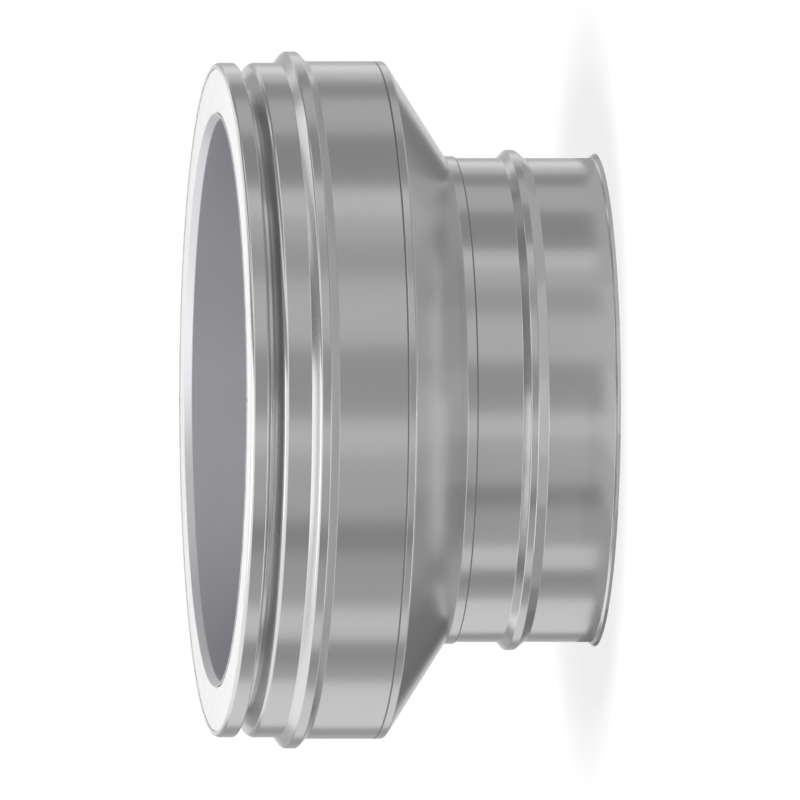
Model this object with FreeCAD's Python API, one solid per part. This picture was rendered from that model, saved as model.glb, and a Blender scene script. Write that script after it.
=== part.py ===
import FreeCAD, Part
import math
import os

# A flue piece that steps from an insulated twin wall down to a single-wall pipe, in millimetres.
# It stands on the flared rim of the pipe, with the origin at the rim's centre and the axis on +Z.
# Each metal piece is one thickness of sheet. Its route is the middle of that thickness in the half
# section, listed from the top down as (radius, height, bend radius), and is turned about the axis.

# Sheet, bends and clearances
sheet = 0.6
bend = 0.8
joggle_bend = 0.5
lap_clearance = 0.2
collar_clearance = 0.4
packing_clearance = 0.2
seat_gap = 1.0

# Single-wall pipe
pipe_diameter = 250.0
flare_rise = 2.4
flare_length = 2.4
socket_length = 34.9
pipe_bead_height = 4.2
pipe_bead_bend = 1.0
pipe_bead_rear = 5.3
pipe_bead_top = 3.8
pipe_bead_front = 3.8
neck_length = 24.3
pipe_reach = 6.0

# Cone cover
collar_length = 5.1
cone_length = 31.6
skirt_length = 3.6
lap_length = 8.0

# Casing
casing_diameter = 350.0
body_length = 35.7
stop_bead_diameter = 360.0
stop_bead_rear = 4.6
stop_bead_top = 4.9
stop_bead_front = 4.3
stop_bead_front_bend = 1.6
male_diameter = 348.4
male_ring_length = 13.8
groove_diameter = 326.4
groove_slope_length = 4.7
groove_floor_length = 2.8
groove_flank_length = 1.4
groove_edge_bend = 3.3
groove_floor_bend = 1.2
end_ring_length = 9.0
lip_bore = 342.4
lip_bend = 2.1

# Liner and inner cone
liner_bore = 291.0
mouth_rise = 2.3
mouth_length = 3.75
spigot_length = 8.0

# Insulation
packing_foot = 3.0

# Heights of the pipe, added up from its rim
pipe_bead_start = flare_length + socket_length
pipe_bead_low = pipe_bead_start + pipe_bead_rear
pipe_bead_high = pipe_bead_low + pipe_bead_top
pipe_bead_end = pipe_bead_high + pipe_bead_front
collar_bottom = pipe_bead_end + neck_length
collar_top = collar_bottom + collar_length
pipe_top = collar_top + pipe_reach

# The joggle steps in at 45 degrees, by one sheet and its clearance, and ends below the casing's edge
joggle_step = sheet + lap_clearance
joggle_reach = joggle_bend * math.tan(math.radians(45) / 2)

# Heights of the cone cover and the casing
cone_top = collar_top + cone_length
skirt_top = cone_top + skirt_length
joggle_top = skirt_top + joggle_step
casing_bottom = joggle_top + joggle_reach
flange_top = casing_bottom + lap_length
stop_bead_start = casing_bottom + body_length
stop_bead_low = stop_bead_start + stop_bead_rear
stop_bead_high = stop_bead_low + stop_bead_top
stop_bead_end = stop_bead_high + stop_bead_front
male_ring_top = stop_bead_end + male_ring_length
groove_low = male_ring_top + groove_slope_length
groove_high = groove_low + groove_floor_length
end_ring_bottom = groove_high + groove_flank_length
face = end_ring_bottom + end_ring_length

# Radii of the middle of the sheet
half_sheet = sheet / 2
pipe_radius = pipe_diameter / 2 - half_sheet
pipe_bead_radius = pipe_radius + pipe_bead_height
collar_radius = pipe_diameter / 2 + collar_clearance + half_sheet
casing_radius = casing_diameter / 2 - half_sheet
flange_radius = casing_radius - joggle_step
stop_bead_radius = stop_bead_diameter / 2 - half_sheet
male_radius = male_diameter / 2 - half_sheet
groove_radius = groove_diameter / 2 - half_sheet
liner_radius = liner_bore / 2 + half_sheet
inner_skirt_radius = liner_radius + sheet + lap_clearance
spigot_radius = pipe_radius - sheet - lap_clearance

# The inner cone runs beside the cone cover, at the same slope
cone_slope = (casing_radius - collar_radius) / cone_length
inner_cone_bottom = pipe_top + seat_gap
inner_cone_top = inner_cone_bottom + (inner_skirt_radius - spigot_radius) / cone_slope
liner_bottom = inner_cone_top + seat_gap

# The insulation keeps this far from the middle of any sheet, and on a cone this far measured level
stand_off = half_sheet + packing_clearance
cone_stand_off = stand_off * math.hypot(1, cone_slope)

axis_foot = FreeCAD.Vector(0, 0, 0)
axis_up = FreeCAD.Vector(0, 0, 1)


def outward(run):
    """Unit vector to the outer side of a run, for routes that are listed from the top down."""
    return FreeCAD.Vector(-run.z, 0, run.x)


def unit(start, end):
    return (end - start).normalize()


def trimmed_end(place, run, shift):
    """End of the line beside a route. It is trimmed level, or square where the sheet itself runs level."""
    point = place + outward(run) * shift
    if abs(run.z) > 1e-6:
        point = point + run * ((place.z - point.z) / run.z)
    return point


def rounded_corner(before, place, after, radius, shift):
    """Start, middle and end of a bend in the line beside a route."""
    run_in = unit(before, place)
    run_out = unit(place, after)
    turn = 1 if outward(run_in).dot(run_out) > 0 else -1
    reach = radius * (run_out - run_in).Length / (run_out + run_in).Length
    centre = place - run_in * reach + outward(run_in) * (turn * radius)
    start = place - run_in * reach + outward(run_in) * shift
    middle = centre + unit(centre, place) * (radius - turn * shift)
    end = place + run_out * reach + outward(run_out) * shift
    return start, middle, end


def straight(*places):
    """Straight edges from place to place."""
    return [Part.LineSegment(a, b).toShape() for a, b in zip(places, places[1:])]


def line_beside(route, shift):
    """Edges of the line that keeps a distance from a route, outwards if positive, and its two ends."""
    places = [FreeCAD.Vector(radius, 0, height) for radius, height, corner in route]
    first = trimmed_end(places[0], unit(places[0], places[1]), shift)
    last = trimmed_end(places[-1], unit(places[-2], places[-1]), shift)
    edges = []
    here = first
    for i in range(1, len(route) - 1):
        start, middle, end = rounded_corner(places[i - 1], places[i], places[i + 1], route[i][2], shift)
        edges += straight(here, start)
        edges.append(Part.Arc(start, middle, end).toShape())
        here = end
    edges += straight(here, last)
    return edges, first, last


def turned(edges):
    """Solid of a closed half section turned about the axis."""
    outline = Part.Wire(Part.__sortEdges__(edges))
    return Part.Face(outline).revolve(axis_foot, axis_up, 360)


def formed_sheet(route):
    """Solid of one thickness of sheet along a route."""
    outer, outer_top, outer_low = line_beside(route, half_sheet)
    inner, inner_top, inner_low = line_beside(route, -half_sheet)
    rims = straight(outer_top, inner_top) + straight(outer_low, inner_low)
    return turned(outer + inner + rims)


def casing_route(bottom):
    return [
        (lip_bore / 2, face - half_sheet, 0),
        (male_radius, face - half_sheet, lip_bend),
        (male_radius, end_ring_bottom, bend),
        (groove_radius, groove_high, groove_floor_bend),
        (groove_radius, groove_low, groove_floor_bend),
        (male_radius, male_ring_top, groove_edge_bend),
        (male_radius, stop_bead_end, bend),
        (stop_bead_radius, stop_bead_high, stop_bead_front_bend),
        (stop_bead_radius, stop_bead_low, bend),
        (casing_radius, stop_bead_start, bend),
        (casing_radius, bottom, 0),
    ]


def liner_route(bottom):
    return [
        (liner_radius + mouth_rise, face, 0),
        (liner_radius, face - mouth_length, bend),
        (liner_radius, bottom, 0),
    ]


def outer_casing():
    """Rolled casing with a turned-in lip, a locking groove and a stop bead."""
    return formed_sheet(casing_route(casing_bottom))


def cone_cover():
    """Flange inside the casing, joggle to a skirt flush with it, cone, and collar on the pipe."""
    return formed_sheet([
        (flange_radius, flange_top, 0),
        (flange_radius, joggle_top, joggle_bend),
        (casing_radius, skirt_top, joggle_bend),
        (casing_radius, cone_top, bend),
        (collar_radius, collar_top, bend),
        (collar_radius, collar_bottom, 0),
    ])


def outlet_pipe():
    """Single-wall pipe with one bead and a flared end."""
    return formed_sheet([
        (pipe_radius, pipe_top, 0),
        (pipe_radius, pipe_bead_end, pipe_bead_bend),
        (pipe_bead_radius, pipe_bead_high, pipe_bead_bend),
        (pipe_bead_radius, pipe_bead_low, pipe_bead_bend),
        (pipe_radius, pipe_bead_start, pipe_bead_bend),
        (pipe_radius, flare_length, bend),
        (pipe_radius + flare_rise, 0, 0),
    ])


def liner():
    """Inner wall of the twin-wall end. Its lower edge stands inside the inner cone's skirt."""
    return formed_sheet(liner_route(liner_bottom))


def inner_cone():
    """Skirt outside the liner, cone, and spigot inside the pipe."""
    return formed_sheet([
        (inner_skirt_radius, inner_cone_top + lap_length, 0),
        (inner_skirt_radius, inner_cone_top, bend),
        (spigot_radius, inner_cone_bottom, bend),
        (spigot_radius, inner_cone_bottom - spigot_length, 0),
    ])


def insulation_ring():
    """Fibre packed between liner and casing, from the open face down to the cone cover's flange."""
    bottom = flange_top + packing_clearance
    outer, under_lip, outer_low = line_beside(casing_route(bottom), -stand_off)
    inner, mouth_edge, inner_low = line_beside(liner_route(bottom), stand_off)
    lip_side = lip_bore / 2 - packing_clearance
    lip_top = FreeCAD.Vector(lip_side, 0, face)
    lip_low = FreeCAD.Vector(lip_side, 0, under_lip.z)
    open_face = straight(mouth_edge, lip_top, lip_low, under_lip)
    return turned(outer + inner + open_face + straight(outer_low, inner_low))


def insulation_cone():
    """Fibre packed between the inner cone and the cone cover, down to where they nearly meet."""
    outer_wall = flange_radius - stand_off
    inner_wall = inner_skirt_radius + stand_off
    pipe_wall = pipe_radius + stand_off
    foot_wall = collar_radius + packing_foot * cone_slope - cone_stand_off
    foot = collar_top + packing_foot
    outer_corner = collar_top + (outer_wall + cone_stand_off - collar_radius) / cone_slope
    inner_corner = inner_cone_bottom + (inner_wall - cone_stand_off - spigot_radius) / cone_slope
    pipe_corner = inner_cone_bottom + (pipe_wall - cone_stand_off - spigot_radius) / cone_slope
    section = [
        (inner_wall, flange_top),
        (outer_wall, flange_top),
        (outer_wall, outer_corner),
        (foot_wall, foot),
        (pipe_wall, foot),
        (pipe_wall, pipe_corner),
        (inner_wall, inner_corner),
        (inner_wall, flange_top),
    ]
    return turned(straight(*[FreeCAD.Vector(radius, 0, height) for radius, height in section]))


nodes = {
    "outer_casing": outer_casing,
    "cone_cover": cone_cover,
    "outlet_pipe": outlet_pipe,
    "liner": liner,
    "inner_cone": inner_cone,
    "insulation_ring": insulation_ring,
    "insulation_cone": insulation_cone,
}

os.makedirs("parts", exist_ok=True)
for name, make in nodes.items():
    make().exportStep("parts/" + name + ".step")
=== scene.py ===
import bmesh
import bpy
import math
from mathutils import Matrix, Vector


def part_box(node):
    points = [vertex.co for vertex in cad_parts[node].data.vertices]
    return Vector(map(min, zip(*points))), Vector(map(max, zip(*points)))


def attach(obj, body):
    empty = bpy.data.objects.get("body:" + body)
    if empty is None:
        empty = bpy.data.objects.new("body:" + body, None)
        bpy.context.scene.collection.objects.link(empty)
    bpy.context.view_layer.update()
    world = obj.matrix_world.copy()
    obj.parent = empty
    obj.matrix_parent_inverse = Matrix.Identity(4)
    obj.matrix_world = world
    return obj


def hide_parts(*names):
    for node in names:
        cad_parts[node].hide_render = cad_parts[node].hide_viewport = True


# Twin-wall flue piece that steps down through a cone to a single-wall pipe.
# It stands on the flared rim of the pipe, with its axis on Z.
# The camera is rolled, so that the picture shows it lying on its side.

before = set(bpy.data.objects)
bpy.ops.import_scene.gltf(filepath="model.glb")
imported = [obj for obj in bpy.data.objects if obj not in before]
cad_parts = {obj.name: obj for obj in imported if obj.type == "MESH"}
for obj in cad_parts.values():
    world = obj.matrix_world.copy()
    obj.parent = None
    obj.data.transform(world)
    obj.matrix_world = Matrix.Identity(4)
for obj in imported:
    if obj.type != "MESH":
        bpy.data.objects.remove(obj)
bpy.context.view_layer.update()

mm = 0.001

sheetMetal = {
    "thickness": 0.6,
    "lapStep": 0.8,  # from the middle of one sheet to the middle of the sheet that laps it
    "roundSteps": 240,
    "bendSteps": 6,
    "supportGap": 0.35,  # flat strip kept beside each bend, so that the long faces shade flat
    "ringSearch": 0.02,  # a ring's edges lie within this of its radius and level
    "smoothAngle": 35,
}
halfSheet = sheetMetal["thickness"] / 2


def height(node, end):  # lowest or highest level of a node of the frame, in mm
    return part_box(node)[0 if end == "low" else 1][2] / mm


levels = {
    "face": height("outer_casing", "high"),
    "casingBottom": height("outer_casing", "low"),
    "flangeTop": height("cone_cover", "high"),
    "collarBottom": height("cone_cover", "low"),
    "pipeTop": height("outlet_pipe", "high"),
    "linerBottom": height("liner", "low"),
    "innerSkirtTop": height("inner_cone", "high"),
    "spigotBottom": height("inner_cone", "low"),
}


# Forming the sheet: a route lists the middle of the sheet as (radius, level, bend radius), in mm

def deselectAll():
    if bpy.context.object and bpy.context.object.mode != "OBJECT":
        bpy.ops.object.mode_set(mode="OBJECT")
    bpy.ops.object.select_all(action="DESELECT")


def selectRing(piece, radius, level):  # edges of the ring at that radius and level, both in mm
    mesh = bmesh.from_edit_mesh(piece.data)
    near = sheetMetal["ringSearch"] * mm
    for edge in mesh.edges:
        edge.select_set(all(
            abs(math.hypot(corner.co.x, corner.co.y) - radius * mm) < near
            and abs(corner.co.z - level * mm) < near
            for corner in edge.verts
        ))
    bmesh.update_edit_mesh(piece.data)


def bendReach(before, place, after):  # how far a bend reaches along the runs beside it
    runIn = Vector((place[0] - before[0], place[1] - before[1])).normalized()
    runOut = Vector((after[0] - place[0], after[1] - place[1])).normalized()
    return place[2] * (runOut - runIn).length / (runOut + runIn).length


def addSupports(route):  # the route with a plain ring on each side of every bend
    gap = sheetMetal["supportGap"]
    rings = [route[0]]
    for i in range(1, len(route)):
        before, place = route[i - 1], route[i]
        run = Vector((place[0] - before[0], place[1] - before[1]))
        starts = bendReach(route[i - 2], before, place) if i > 1 else 0
        ends = bendReach(before, place, route[i + 1]) if i + 1 < len(route) else 0
        if run.length > starts + ends + 3 * gap:  # a shorter run has no room for them
            shares = [(starts + gap) / run.length] if starts else []
            shares += [1 - (ends + gap) / run.length] if ends else []
            rings += [(before[0] + run.x * share, before[1] + run.y * share, 0) for share in shares]
        rings.append(place)
    return rings


def pullRings(name, rings, steps):  # a circle extruded and scaled from ring to ring
    deselectAll()
    radius, level = rings[0][:2]
    bpy.ops.mesh.primitive_circle_add(vertices=steps, radius=radius * mm)
    piece = bpy.context.object
    piece.name = name
    piece.data.name = name
    bpy.ops.object.mode_set(mode="EDIT")
    bpy.ops.mesh.select_all(action="SELECT")
    bpy.ops.transform.translate(value=(0, 0, level * mm))
    for ring in rings[1:]:
        nextRadius, nextLevel = ring[:2]
        rise = (nextLevel - level) * mm
        grow = nextRadius / radius
        bpy.ops.mesh.extrude_region_move(TRANSFORM_OT_translate={"value": (0, 0, rise)})
        bpy.ops.transform.resize(value=(grow, grow, 1), center_override=(0, 0, 0))
        radius, level = nextRadius, nextLevel
    return piece


def formSheet(name, route):  # one thickness of sheet: rings, rounded bends, thickness, smooth shading
    piece = pullRings(name, addSupports(route), sheetMetal["roundSteps"])
    bpy.ops.mesh.select_mode(type="EDGE")
    for before, place, after in zip(route, route[1:], route[2:]):
        selectRing(piece, place[0], place[1])
        bpy.ops.mesh.bevel(
            offset_type="OFFSET",
            offset=bendReach(before, place, after) * mm,
            segments=sheetMetal["bendSteps"],
            profile=0.5,
            affect="EDGES",
        )
    bpy.ops.mesh.select_all(action="SELECT")
    bpy.ops.mesh.normals_make_consistent(inside=False)
    bpy.ops.object.mode_set(mode="OBJECT")
    wall = piece.modifiers.new("wall", "SOLIDIFY")
    wall.thickness = sheetMetal["thickness"] * mm
    wall.offset = 0
    wall.use_even_offset = True
    bpy.ops.object.modifier_apply(modifier=wall.name)
    bpy.ops.object.shade_smooth_by_angle(angle=math.radians(sheetMetal["smoothAngle"]))
    return piece


def levelRim(piece, level):  # cuts a flared rim level, as it is dressed after rolling
    deselectAll()
    bpy.context.view_layer.objects.active = piece
    piece.select_set(True)
    bpy.ops.object.mode_set(mode="EDIT")
    bpy.ops.mesh.select_mode(type="VERT")
    bpy.ops.mesh.select_all(action="DESELECT")
    mesh = bmesh.from_edit_mesh(piece.data)
    for corner in mesh.verts:
        corner.select_set(abs(corner.co.z - level * mm) < halfSheet * mm)
    bmesh.update_edit_mesh(piece.data)
    bpy.ops.transform.resize(value=(1, 1, 0), center_override=(0, 0, level * mm))
    bpy.ops.object.mode_set(mode="OBJECT")


def finishPiece(piece, node, material):
    piece.data.materials.clear()
    piece.data.materials.append(material)
    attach(piece, "root")
    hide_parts(node)
    print("made", piece.name)


# Materials

def setInputs(node, inputs):  # an underscore in an input's name stands for a space
    for socket, value in inputs.items():
        node.inputs[socket.replace("_", " ")].default_value = value


def newMaterial(name, **inputs):
    material = bpy.data.materials.new(name)
    material.use_nodes = True
    setInputs(material.node_tree.nodes["Principled BSDF"], inputs)
    return material


def addNode(nodes, kind, name, **inputs):
    node = nodes.new(kind)
    node.name = name
    setInputs(node, inputs)
    return node


def addMath(nodes, name, operation):
    node = addNode(nodes, "ShaderNodeMath", name)
    node.operation = operation
    return node


def addMix(nodes, name, **colors):
    node = addNode(nodes, "ShaderNodeMix", name)
    node.data_type = "RGBA"
    for socket, color in colors.items():
        node.inputs[socket].default_value = (*color, 1)


def link(nodes, fromNode, fromSocket, toNode, toSocket):
    nodes.id_data.links.new(nodes[fromNode].outputs[fromSocket], nodes[toNode].inputs[toSocket])


def addRelief(nodes, look, source, output):
    addNode(
        nodes, "ShaderNodeBump", "relief",
        Strength=look["relief"], Distance=look["reliefDepth"] * mm,
    )
    link(nodes, source, output, "relief", "Height")
    link(nodes, "relief", "Normal", "Principled BSDF", "Normal")


def addSeam(nodes, look):  # ground weld seam along the part, on the side of the part that Y gives
    addNode(nodes, "ShaderNodeSeparateXYZ", "axes")
    addMath(nodes, "offSeam", "ABSOLUTE")
    addNode(
        nodes, "ShaderNodeMapRange", "band",
        From_Min=look["seamWidth"] / 2 * mm,
        From_Max=look["seamWidth"] * look["seamCore"] * mm,
    )
    onSide = addMath(nodes, "onSide", "GREATER_THAN" if look["seamSide"] > 0 else "LESS_THAN")
    onSide.inputs[1].default_value = 0
    addMath(nodes, "seam", "MULTIPLY")
    link(nodes, "place", "Object", "axes", "Vector")
    link(nodes, "axes", "X", "offSeam", 0)
    link(nodes, "offSeam", "Value", "band", "Value")
    link(nodes, "axes", "Y", "onSide", 0)
    link(nodes, "band", "Result", "seam", 0)
    link(nodes, "onSide", "Value", "seam", 1)


def steelMaterial(name, look):  # rolled stainless sheet: fine grain round the part, faint clouding
    material = newMaterial(name, Metallic=1)
    nodes = material.node_tree.nodes
    addNode(nodes, "ShaderNodeTexCoord", "place")

    grainScale = (look["grainAlong"], look["grainAlong"], look["grainAcross"])
    addNode(nodes, "ShaderNodeMapping", "grainSize", Scale=grainScale)
    addNode(
        nodes, "ShaderNodeTexNoise", "grain",
        Scale=1, Detail=look["grainDetail"], Roughness=look["grainRoughness"],
    )
    addNode(
        nodes, "ShaderNodeTexNoise", "clouds",
        Scale=look["cloudScale"], Detail=look["cloudDetail"], Roughness=look["cloudRoughness"],
    )
    link(nodes, "place", "Object", "grainSize", "Vector")
    link(nodes, "grainSize", "Vector", "grain", "Vector")
    link(nodes, "place", "Object", "clouds", "Vector")

    darker = [value * (1 - look["toneSpread"]) for value in look["color"]]
    lighter = [value * (1 + look["toneSpread"]) for value in look["color"]]
    seamColor = [value * shade for value, shade in zip(look["color"], look["seamShade"])]
    addMix(nodes, "tone", A=darker, B=lighter)
    addMix(nodes, "seamTone", B=seamColor)
    addSeam(nodes, look)
    link(nodes, "clouds", "Fac", "tone", "Factor")
    link(nodes, "seam", "Value", "seamTone", "Factor")
    link(nodes, "tone", "Result", "seamTone", "A")
    link(nodes, "seamTone", "Result", "Principled BSDF", "Base Color")

    addNode(
        nodes, "ShaderNodeMapRange", "gloss",
        To_Min=look["roughness"] - look["roughnessSpread"],
        To_Max=look["roughness"] + look["roughnessSpread"],
    )
    seamGloss = addMath(nodes, "seamGloss", "MULTIPLY_ADD")
    seamGloss.inputs[1].default_value = look["seamRoughness"]
    link(nodes, "grain", "Fac", "gloss", "Value")
    link(nodes, "seam", "Value", "seamGloss", 0)
    link(nodes, "gloss", "Result", "seamGloss", 2)
    link(nodes, "seamGloss", "Value", "Principled BSDF", "Roughness")
    addRelief(nodes, look, "grain", "Fac")
    return material


outerSteel = {
    "color": (0.72, 0.72, 0.72),
    "toneSpread": 0.02,
    "cloudScale": 9,
    "cloudDetail": 2,
    "cloudRoughness": 0.5,
    "roughness": 0.2,
    "roughnessSpread": 0.02,
    "grainAlong": 14,
    "grainAcross": 2600,
    "grainDetail": 3,
    "grainRoughness": 0.6,
    "relief": 0.04,
    "reliefDepth": 0.05,
    "seamSide": 1,
    "seamWidth": 2.4,
    "seamCore": 0.35,  # share of the width, each side of the middle, that has the seam's full tone
    "seamShade": (0.74, 0.71, 0.66),
    "seamRoughness": 0.16,
}
linerSteel = {
    **outerSteel,
    "color": (0.73, 0.73, 0.76),
    "cloudScale": 8,
    "roughness": 0.42,
    "roughnessSpread": 0.03,
    "grainAcross": 2200,
    "seamSide": -1,
    "seamShade": (0.78, 0.75, 0.70),
    "seamRoughness": 0.1,
}
weldSteel = {
    **outerSteel,
    "color": (0.30, 0.295, 0.285),
    "roughness": 0.38,
}
whiteFibre = {
    "color": (0.90, 0.90, 0.895),
    "shade": (0.80, 0.80, 0.79),
    "shadeLevel": 0.3,  # strength of the strands' noise where the fibre has its shade, and its colour
    "colorLevel": 0.5,
    "roughness": 0.95,
    "specular": 0.2,
    "tuftScale": 420,
    "tuftDetail": 4,
    "tuftRoughness": 0.65,
    "strandScale": 90,
    "strandDetail": 5,
    "strandRoughness": 0.7,
    "strandTwist": 2.5,
    "relief": 0.35,
    "reliefDepth": 0.4,
}


def fibreMaterial(name, look):  # pressed mineral fibre: small tufts with strands running through them
    material = newMaterial(name, Roughness=look["roughness"], Specular_IOR_Level=look["specular"])
    nodes = material.node_tree.nodes
    addNode(nodes, "ShaderNodeTexCoord", "place")
    addNode(
        nodes, "ShaderNodeTexNoise", "tufts",
        Scale=look["tuftScale"], Detail=look["tuftDetail"], Roughness=look["tuftRoughness"],
    )
    addNode(
        nodes, "ShaderNodeTexNoise", "strands",
        Scale=look["strandScale"], Detail=look["strandDetail"], Roughness=look["strandRoughness"],
        Distortion=look["strandTwist"],
    )
    link(nodes, "place", "Object", "tufts", "Vector")
    link(nodes, "place", "Object", "strands", "Vector")

    addMix(nodes, "tone", A=look["shade"], B=look["color"])
    addNode(
        nodes, "ShaderNodeMapRange", "spread",
        From_Min=look["shadeLevel"], From_Max=look["colorLevel"],
    )
    link(nodes, "strands", "Fac", "spread", "Value")
    link(nodes, "spread", "Result", "tone", "Factor")
    link(nodes, "tone", "Result", "Principled BSDF", "Base Color")

    addMath(nodes, "heap", "ADD")
    link(nodes, "tufts", "Fac", "heap", 0)
    link(nodes, "strands", "Fac", "heap", 1)
    addRelief(nodes, look, "heap", "Value")
    return material


casingSteelMaterial = steelMaterial("casingSteel", outerSteel)
coneSteelMaterial = steelMaterial("coneSteel", outerSteel)
pipeSteelMaterial = steelMaterial("pipeSteel", outerSteel)
linerSteelMaterial = steelMaterial("linerSteel", linerSteel)
weldSteelMaterial = steelMaterial("weldSteel", weldSteel)
whiteFibreMaterial = fibreMaterial("whiteFibre", whiteFibre)
print("materials ready")


# Casing: lip, end ring, locking groove, second ring, stop bead and plain body

casing = {
    "lipRadius": 171.2,
    "lipBend": 2.1,
    "maleRadius": 174.2 - halfSheet,
    "endRing": 9.0,
    "grooveFlank": 1.4,
    "grooveFloor": 2.8,
    "grooveSlope": 4.7,
    "grooveRadius": 163.2 - halfSheet,
    "grooveFloorBend": 1.2,
    "grooveEdgeBend": 3.3,
    "maleRing": 13.8,
    "beadRadius": 180 - halfSheet,
    "beadFront": 4.3,
    "beadTop": 4.9,
    "beadRear": 4.6,
    "beadFrontBend": 1.6,
    "bodyRadius": 175 - halfSheet,
    "bend": 0.8,
}


def grooveLevels():  # foot of the end ring, top and bottom of the groove's floor, top of the second ring
    ringLow = levels["face"] - casing["endRing"]
    grooveHigh = ringLow - casing["grooveFlank"]
    grooveLow = grooveHigh - casing["grooveFloor"]
    return ringLow, grooveHigh, grooveLow, grooveLow - casing["grooveSlope"]


def makeCasing():
    part = casing
    ringLow, grooveHigh, grooveLow, ringTop = grooveLevels()
    beadFoot = ringTop - part["maleRing"]
    beadHigh = beadFoot - part["beadFront"]
    beadLow = beadHigh - part["beadTop"]
    route = [
        (part["lipRadius"], levels["face"] - halfSheet, 0),
        (part["maleRadius"], levels["face"] - halfSheet, part["lipBend"]),
        (part["maleRadius"], ringLow, part["bend"]),
        (part["grooveRadius"], grooveHigh, part["grooveFloorBend"]),
        (part["grooveRadius"], grooveLow, part["grooveFloorBend"]),
        (part["maleRadius"], ringTop, part["grooveEdgeBend"]),
        (part["maleRadius"], beadFoot, part["bend"]),
        (part["beadRadius"], beadHigh, part["beadFrontBend"]),
        (part["beadRadius"], beadLow, part["bend"]),
        (part["bodyRadius"], beadLow - part["beadRear"], part["bend"]),
        (part["bodyRadius"], levels["casingBottom"], 0),
    ]
    finishPiece(formSheet("casingShell", route), "outer_casing", casingSteelMaterial)


# Cone cover: flange in the casing, joggle, flush skirt, cone and collar

coneCover = {
    "joggleBend": 0.5,
    "skirt": 3.6,
    "cone": 31.6,
    "collar": 5.1,
    "collarRadius": 126 - halfSheet,
    "bend": 0.8,
}


def makeConeCover():
    part = coneCover
    step = sheetMetal["lapStep"]
    flangeRadius = casing["bodyRadius"] - step
    collarTop = levels["collarBottom"] + part["collar"]
    coneTop = collarTop + part["cone"]
    skirtTop = coneTop + part["skirt"]
    route = [
        (flangeRadius, levels["flangeTop"], 0),
        (flangeRadius, skirtTop + step, part["joggleBend"]),
        (casing["bodyRadius"], skirtTop, part["joggleBend"]),
        (casing["bodyRadius"], coneTop, part["bend"]),
        (part["collarRadius"], collarTop, part["bend"]),
        (part["collarRadius"], levels["collarBottom"], 0),
    ]
    finishPiece(formSheet("coneShell", route), "cone_cover", coneSteelMaterial)


# Welds: one runs round the joint of casing and cone cover, one closes the collar on the pipe

welds = {
    "thickness": 1.3,
    "steps": 720,
    "aroundSteps": 8,
    "ripple": 0.07,
    "jointRadius": 174.38,
    "jointDrop": 0.6,
    "collarRadius": 125.35,
    "collarDrop": 0.1,
}


def makeWeld(name, radius, level):  # a thin round bead with a ripple at every second step
    part = welds
    deselectAll()
    bpy.ops.mesh.primitive_torus_add(
        location=(0, 0, level * mm),
        major_radius=radius * mm,
        minor_radius=part["thickness"] / 2 * mm,
        major_segments=part["steps"],
        minor_segments=part["aroundSteps"],
    )
    weld = bpy.context.object
    weld.name = name
    weld.data.name = name
    bpy.ops.object.transform_apply(location=True, rotation=False, scale=False)
    everySecond = [i for i in range(len(weld.data.vertices)) if i // part["aroundSteps"] % 2]
    ripples = weld.vertex_groups.new(name="ripples")
    ripples.add(everySecond, 1, "REPLACE")
    sink = weld.modifiers.new("ripple", "DISPLACE")
    sink.vertex_group = "ripples"
    sink.mid_level = 1
    sink.strength = part["ripple"] * mm
    bpy.ops.object.modifier_apply(modifier=sink.name)
    bpy.ops.object.shade_smooth()
    weld.data.materials.append(weldSteelMaterial)
    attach(weld, "root")
    print("made", weld.name)


# Outlet pipe: plain neck, one bead, socket and flared rim

outletPipe = {
    "radius": 125 - halfSheet,
    "flareRise": 2.4,
    "flareLength": 2.4,
    "socket": 34.9,
    "beadHeight": 4.2,
    "beadRear": 5.3,
    "beadTop": 3.8,
    "beadFront": 3.8,
    "beadBend": 1.0,
    "bend": 0.8,
}


def makeOutletPipe():
    part = outletPipe
    beadStart = part["flareLength"] + part["socket"]
    beadLow = beadStart + part["beadRear"]
    beadHigh = beadLow + part["beadTop"]
    beadRadius = part["radius"] + part["beadHeight"]
    route = [
        (part["radius"], levels["pipeTop"], 0),
        (part["radius"], beadHigh + part["beadFront"], part["beadBend"]),
        (beadRadius, beadHigh, part["beadBend"]),
        (beadRadius, beadLow, part["beadBend"]),
        (part["radius"], beadStart, part["beadBend"]),
        (part["radius"], part["flareLength"], part["bend"]),
        (part["radius"] + part["flareRise"], 0, 0),
    ]
    piece = formSheet("pipeShell", route)
    levelRim(piece, 0)
    finishPiece(piece, "outlet_pipe", pipeSteelMaterial)


# Liner and inner cone: the smooth inner wall

linerWall = {
    "radius": 145.5 + halfSheet,
    "mouthRise": 2.3,
    "mouthLength": 3.75,
    "bend": 0.8,
}
innerConeWall = {
    "skirtRadius": linerWall["radius"] + sheetMetal["lapStep"],
    "spigotRadius": outletPipe["radius"] - sheetMetal["lapStep"],
    "skirt": 8.0,
    "spigot": 8.0,
    "bend": 0.8,
}


def makeLiner():
    part = linerWall
    route = [
        (part["radius"] + part["mouthRise"], levels["face"], 0),
        (part["radius"], levels["face"] - part["mouthLength"], part["bend"]),
        (part["radius"], levels["linerBottom"], 0),
    ]
    piece = formSheet("linerShell", route)
    levelRim(piece, levels["face"])
    finishPiece(piece, "liner", linerSteelMaterial)


def makeInnerCone():
    part = innerConeWall
    route = [
        (part["skirtRadius"], levels["innerSkirtTop"], 0),
        (part["skirtRadius"], levels["innerSkirtTop"] - part["skirt"], part["bend"]),
        (part["spigotRadius"], levels["spigotBottom"] + part["spigot"], part["bend"]),
        (part["spigotRadius"], levels["spigotBottom"], 0),
    ]
    finishPiece(formSheet("innerConeShell", route), "inner_cone", linerSteelMaterial)


# Fibre ring: packed between liner and casing, cut at the open face and left a little uneven

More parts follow.
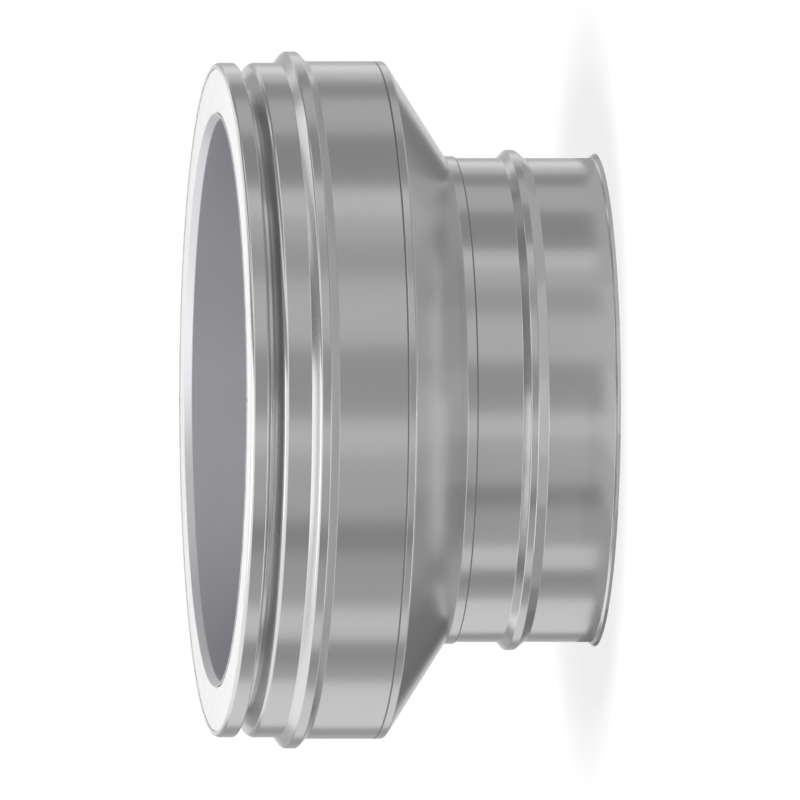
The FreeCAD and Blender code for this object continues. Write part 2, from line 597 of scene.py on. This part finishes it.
fibreRing = {
    "standOff": 0.5,  # gap to the middle of the sheet beside it
    "mouthGap": 0.9,
    "lipGap": 0.3,
    "lipRound": 1.2,
    "edgeDrop": 0.5,
    "flankEase": 1.5,  # how far its corners keep above or below those of the groove
    "floorEase": 1.0,
    "slopeEase": 3.0,
    "mergeDistance": 0.01,
    "faceSearch": 0.01,  # corners within this of the top belong to the open face
    "roundSteps": 480,
    "faceRings": 16,
    "lumpSize": 7.0,
    "lumpDepth": 0.55,
    "tuftSize": 2.2,
    "tuftDepth": 0.25,
    "smoothAngle": 60,
}


def settle(piece, name, size, depth):  # sinks the open face in soft lumps of that size and depth
    cloud = bpy.data.textures.new(name, "CLOUDS")
    cloud.noise_scale = size * mm
    cloud.noise_depth = 2
    sink = piece.modifiers.new(name, "DISPLACE")
    sink.texture = cloud
    sink.texture_coords = "LOCAL"
    sink.direction = "Z"
    sink.vertex_group = "openFace"
    sink.mid_level = 1
    sink.strength = depth * mm
    bpy.ops.object.modifier_apply(modifier=sink.name)


def makeFibreRing():
    part = fibreRing
    gap = part["standOff"]
    steelFace = levels["face"]
    ringLow, grooveHigh, grooveLow, ringTop = grooveLevels()
    foot = levels["flangeTop"] + gap
    inner = linerWall["radius"] + gap
    mouth = linerWall["radius"] + linerWall["mouthRise"] + part["mouthGap"]
    lip = casing["lipRadius"] - part["lipGap"]
    ringWall = casing["maleRadius"] - gap
    grooveWall = casing["grooveRadius"] - gap
    section = [
        (inner, foot),
        (inner, steelFace - linerWall["mouthLength"] - gap),
        (mouth, steelFace - part["edgeDrop"]),
    ]
    for i in range(1, part["faceRings"]):
        section.append((mouth + (lip - mouth) * i / part["faceRings"], steelFace))
    section += [
        (lip, steelFace - part["edgeDrop"]),
        (lip, steelFace - sheetMetal["thickness"] - gap),
        (ringWall - part["lipRound"], steelFace - part["lipRound"]),
        (ringWall, steelFace - 2 * part["lipRound"]),
        (ringWall, ringLow + part["flankEase"]),
        (grooveWall, grooveHigh + part["floorEase"]),
        (grooveWall, grooveLow - part["floorEase"]),
        (ringWall, ringTop - part["slopeEase"]),
        (ringWall, foot),
        (inner, foot),
    ]
    piece = pullRings("fibreRing", section, part["roundSteps"])
    bpy.ops.mesh.select_all(action="SELECT")
    bpy.ops.mesh.remove_doubles(threshold=part["mergeDistance"] * mm)
    bpy.ops.mesh.normals_make_consistent(inside=False)
    bpy.ops.object.mode_set(mode="OBJECT")
    faceLevel = (steelFace - part["faceSearch"]) * mm
    onFace = [corner.index for corner in piece.data.vertices if corner.co.z > faceLevel]
    openFace = piece.vertex_groups.new(name="openFace")
    openFace.add(onFace, 1, "REPLACE")
    settle(piece, "lumps", part["lumpSize"], part["lumpDepth"])
    settle(piece, "tufts", part["tuftSize"], part["tuftDepth"])
    bpy.ops.object.shade_smooth_by_angle(angle=math.radians(part["smoothAngle"]))
    finishPiece(piece, "insulation_ring", whiteFibreMaterial)


makeCasing()
makeConeCover()
makeWeld("jointWeld", welds["jointRadius"], levels["casingBottom"] - welds["jointDrop"])
makeWeld("collarWeld", welds["collarRadius"], levels["collarBottom"] - welds["collarDrop"])
makeOutletPipe()
makeLiner()
makeInnerCone()
makeFibreRing()

# The fibre in the cone is sealed in and stays as the frame has it
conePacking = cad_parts["insulation_cone"]
conePacking.data.materials.clear()
conePacking.data.materials.append(whiteFibreMaterial)


# Studio: floor, cards, room and lamp, with lengths in metres

studio = {
    "floorRadius": 0.42,
    "floorSteps": 96,
    "floorColor": (0.40, 0.40, 0.40, 1),
    "floorRoughness": 0.9,
    "floorGlow": 0.72,
    "roomGlow": 0.3,
    "skyGlow": 1.6,
    "shadeGlow": 0.28,
    "pitGlow": 0.6,
    "cardDistance": 1.3,
    "cardLow": -0.3,
    "lowCardLow": -0.38,
    "deepCardLow": -1.9,
    "cardHigh": 0.6,
    "highCardHigh": 0.95,
    "glintDistance": 1.25,
    "glintLow": -0.62,
    "glintHigh": -0.26,
    "floorCardNear": 0.12,
    "floorCardLift": 0.001,
    "floorCardStep": 0.0001,  # each floor card lies this much above the one before it
}


def addSeenSwitch(nodes):  # gives its second input to the camera, and to what metal and glass show
    addNode(nodes, "ShaderNodeLightPath", "ray")
    addNode(nodes, "ShaderNodeMixShader", "seen")
    addMath(nodes, "cameraOrGlossy", "MAXIMUM")
    addMath(nodes, "orTransmission", "MAXIMUM")
    link(nodes, "ray", "Is Camera Ray", "cameraOrGlossy", 0)
    link(nodes, "ray", "Is Glossy Ray", "cameraOrGlossy", 1)
    link(nodes, "cameraOrGlossy", "Value", "orTransmission", 0)
    link(nodes, "ray", "Is Transmission Ray", "orTransmission", 1)
    link(nodes, "orTransmission", "Value", "seen", "Fac")


def makeFloor():
    deselectAll()
    bpy.ops.mesh.primitive_circle_add(
        vertices=studio["floorSteps"],
        radius=studio["floorRadius"],
        fill_type="NGON",
    )
    floor = bpy.context.object
    floor.name = "floor"
    material = newMaterial(
        "paleFloor",
        Base_Color=studio["floorColor"],
        Roughness=studio["floorRoughness"],
    )
    nodes = material.node_tree.nodes
    addNode(nodes, "ShaderNodeEmission", "white", Strength=studio["floorGlow"])
    addNode(nodes, "ShaderNodeEmission", "dark", Strength=0)
    addNode(nodes, "ShaderNodeAddShader", "both")
    addSeenSwitch(nodes)
    link(nodes, "dark", "Emission", "seen", 1)
    link(nodes, "white", "Emission", "seen", 2)
    link(nodes, "Principled BSDF", "BSDF", "both", 0)
    link(nodes, "seen", "Shader", "both", 1)
    link(nodes, "both", "Shader", "Material Output", "Surface")
    floor.data.materials.append(material)
    floor.visible_glossy = False


def glowMaterial(name, grey):
    material = newMaterial(name)
    nodes = material.node_tree.nodes
    nodes.remove(nodes["Principled BSDF"])
    addNode(nodes, "ShaderNodeEmission", "light", Color=(1, 1, 1, 1), Strength=grey)
    link(nodes, "light", "Emission", "Material Output", "Surface")
    return material


def makeCard(name, place, grey):  # glows at a plain level, and only metal sees it
    deselectAll()
    bpy.ops.mesh.primitive_plane_add(size=1)
    card = bpy.context.object
    card.name = name
    card.matrix_world = place
    card.data.materials.append(glowMaterial(name + "Glow", grey))
    card.visible_camera = False
    card.visible_diffuse = False
    card.visible_shadow = False


def standCard(name, toward, middle, size, grey):  # with its face square to that direction
    turned = toward.to_track_quat("Z", "Y").to_matrix().to_4x4()
    makeCard(name, Matrix.Translation(middle) @ turned @ Matrix.Diagonal((*size, 1, 1)), grey)


def betweenAngles(start, end):  # the way to the middle of a card, and the angle that it takes up
    angle = math.radians((start + end) / 2)
    return Vector((math.sin(angle), -math.cos(angle), 0)), math.radians(end - start)


wallCards = [  # angle where a card starts, from the camera round to the picture's top, and its grey
    (-166, 0.45),
    (-154, 0.30),
    (-143, 0.75),
    (-106, 0.40),
    (-96, 0.30),
    (-85, 0.70),
    (-71, 0.40),
    (-50, 0.25),
    (-39, 0.45),
    (-17, 0.60),
    (-6, 0.35),
    (17, 0.55),
    (39, 0.40),
    (52, 0.50),
    (62, 0.65),
    (73, 0.30),
    (98, 0.50),
    (119, 0.30),
    (133, 0.60),
    (143, 0.85),
    (154, 0.50),
    (166, 0.80),
    (194, 0.80),
]
lowCards = [  # the same for the tier below
    (-160, 0.45),
    (-140, 0.60),
    (-100, 0.35),
    (-60, 0.50),
    (-10, 0.40),
    (18, 0.30),
    (76, 0.50),
    (124, 0.40),
    (150, 0.90),
    (180, 0.35),
    (200, 0.35),
]
deepCards = [  # and for the tier below that, which the cone sees
    (-152, 0.30),
    (-142, 0.40),
    (-128, 0.55),
    (-80, 0.35),
    (-30, 0.45),
    (20, 0.30),
    (76, 0.50),
    (124, 0.40),
    (150, 0.35),
    (158, 0.20),
    (166, 0.09),
    (184, 0.13),
    (198, 0.20),
    (208, 0.20),
]
highCards = [  # above the wall, on the side that the lower half of the liner's mouth sees
    (96, 0.25),
    (123, 0.25),
    (150, 0.25),
]
glintCards = [  # bright ones in front of the low and deep tiers, for the small bead
    (-75, 1.7),
    (-35, 1.7),
    (5, 1.7),
]
levelCards = [  # name, middle, size and glow: three overhead, and one far below the floor
    ("skyCard", (-0.3, 0, 1.6), (1.0, 1.6), studio["skyGlow"]),
    ("shadeCard", (0.52, -0.7, 1.6), (0.56, 2.6), studio["shadeGlow"]),
    ("sideShadeCard", (1.9, -0.2, 1.6), (1.4, 2.4), studio["shadeGlow"]),
    ("pitCard", (0, 0, studio["deepCardLow"]), (3.0, 3.0), studio["pitGlow"]),
]
floorCards = [  # angle where a card on the floor starts, how far out it reaches, and its grey
    (-152, 0.155, 0.30),
    (-136, 0.155, 0.20),
    (-110, 0.155, 0.20),
    (-84, 0.16, 0.28),
    (-62, 0.18, 0.40),
    (-30, 0.18, 0.52),
    (-12, 0.18, 0.64),
    (12, 0.18, 0.56),
    (40, 0.18, 0.48),
    (84, 0.155, 0.40),
    (112, 0.155, 0.40),
    (136, 0.155, 0.40),
    (172, 0.155, 0.40),
    (208, 0.155, 0.40),
]


def ringOfCards(name, cards, far, low, high):  # upright and side by side; the last angle ends the row
    for i, (start, grey) in enumerate(cards[:-1]):
        toward, spread = betweenAngles(start, cards[i + 1][0])
        middle = toward * far + Vector((0, 0, (low + high) / 2))
        size = (2 * far * math.tan(spread / 2), high - low)
        standCard(name + str(i + 1), toward, middle, size, grey)


def makeCards():  # they put soft bands on the steel
    far = studio["cardDistance"]
    ringOfCards("wallCard", wallCards, far, studio["cardLow"], studio["cardHigh"])
    ringOfCards("lowCard", lowCards, far, studio["lowCardLow"], studio["cardLow"])
    ringOfCards("deepCard", deepCards, far, studio["deepCardLow"], studio["lowCardLow"])
    ringOfCards("highCard", highCards, far, studio["cardHigh"], studio["highCardHigh"])
    nearer = studio["glintDistance"]
    ringOfCards("glintCard", glintCards, nearer, studio["glintLow"], studio["glintHigh"])
    for name, middle, size, glow in levelCards:
        standCard(name, Vector((0, 0, 1)), Vector(middle), size, glow)


def makeFloorCards():  # round the foot, where the cone and the foot of the pipe mirror them
    near = studio["floorCardNear"]
    for i, (start, far, grey) in enumerate(floorCards[:-1]):
        toward, spread = betweenAngles(start, floorCards[i + 1][0])
        lift = studio["floorCardLift"] + i * studio["floorCardStep"]
        middle = toward * (near + far) / 2 + Vector((0, 0, lift))
        turned = Matrix.Rotation(math.atan2(toward.y, toward.x), 4, "Z")
        size = (far - near, 2 * far * math.tan(spread / 2))
        place = Matrix.Translation(middle) @ turned @ Matrix.Diagonal((*size, 1, 1))
        makeCard("floorCard" + str(i + 1), place, grey)


def makeRoom():
    world = bpy.data.worlds.new("paleRoom")
    bpy.context.scene.world = world
    world.use_nodes = True
    nodes = world.node_tree.nodes
    setInputs(nodes["Background"], {"Color": (1, 1, 1, 1), "Strength": studio["roomGlow"]})
    addNode(nodes, "ShaderNodeBackground", "white", Color=(1, 1, 1, 1), Strength=1)
    addSeenSwitch(nodes)
    link(nodes, "Background", "Background", "seen", 1)
    link(nodes, "white", "Background", "seen", 2)
    link(nodes, "seen", "Shader", "World Output", "Surface")


topLamp = {
    "place": (0, -0.3, 1.5),
    "target": (0, 0, 0.1),
    "width": 0.7,
    "depth": 0.7,
    "radiance": 9.5,
}


def makeTopLamp():  # metal doesn't show it
    data = bpy.data.lights.new("topLamp", "AREA")
    data.shape = "RECTANGLE"
    data.size = topLamp["width"]
    data.size_y = topLamp["depth"]
    data.energy = topLamp["radiance"] * math.pi * topLamp["width"] * topLamp["depth"]
    lamp = bpy.data.objects.new("topLamp", data)
    bpy.context.scene.collection.objects.link(lamp)
    lamp.location = topLamp["place"]
    aim = Vector(topLamp["target"]) - Vector(topLamp["place"])
    lamp.rotation_euler = aim.to_track_quat("-Z", "Y").to_euler()
    lamp.visible_glossy = False


# Camera: almost square to the flue axis, and rolled so that the big end is on the left

cameraView = {
    "tilt": 6.22,  # degrees above square; the rest is in mm
    "width": 413.2,
    "middle": 101.0,
    "distance": 1000,
}


def makeCamera():
    view = cameraView
    tilt = math.radians(view["tilt"])
    data = bpy.data.cameras.new("camera")
    data.type = "ORTHO"
    data.ortho_scale = view["width"] * mm
    camera = bpy.data.objects.new("camera", data)
    bpy.context.scene.collection.objects.link(camera)
    back = Vector((0, -math.cos(tilt), math.sin(tilt)))
    up = Vector((1, 0, 0))
    turned = Matrix((up.cross(back), up, back)).transposed().to_4x4()
    place = Vector((0, 0, view["middle"] * mm)) + back * (view["distance"] * mm)
    camera.matrix_world = Matrix.Translation(place) @ turned
    bpy.context.scene.camera = camera


makeFloor()
makeCards()
makeFloorCards()
makeRoom()
makeTopLamp()
makeCamera()
bpy.context.scene.view_settings.view_transform = "Standard"
print("studio ready")
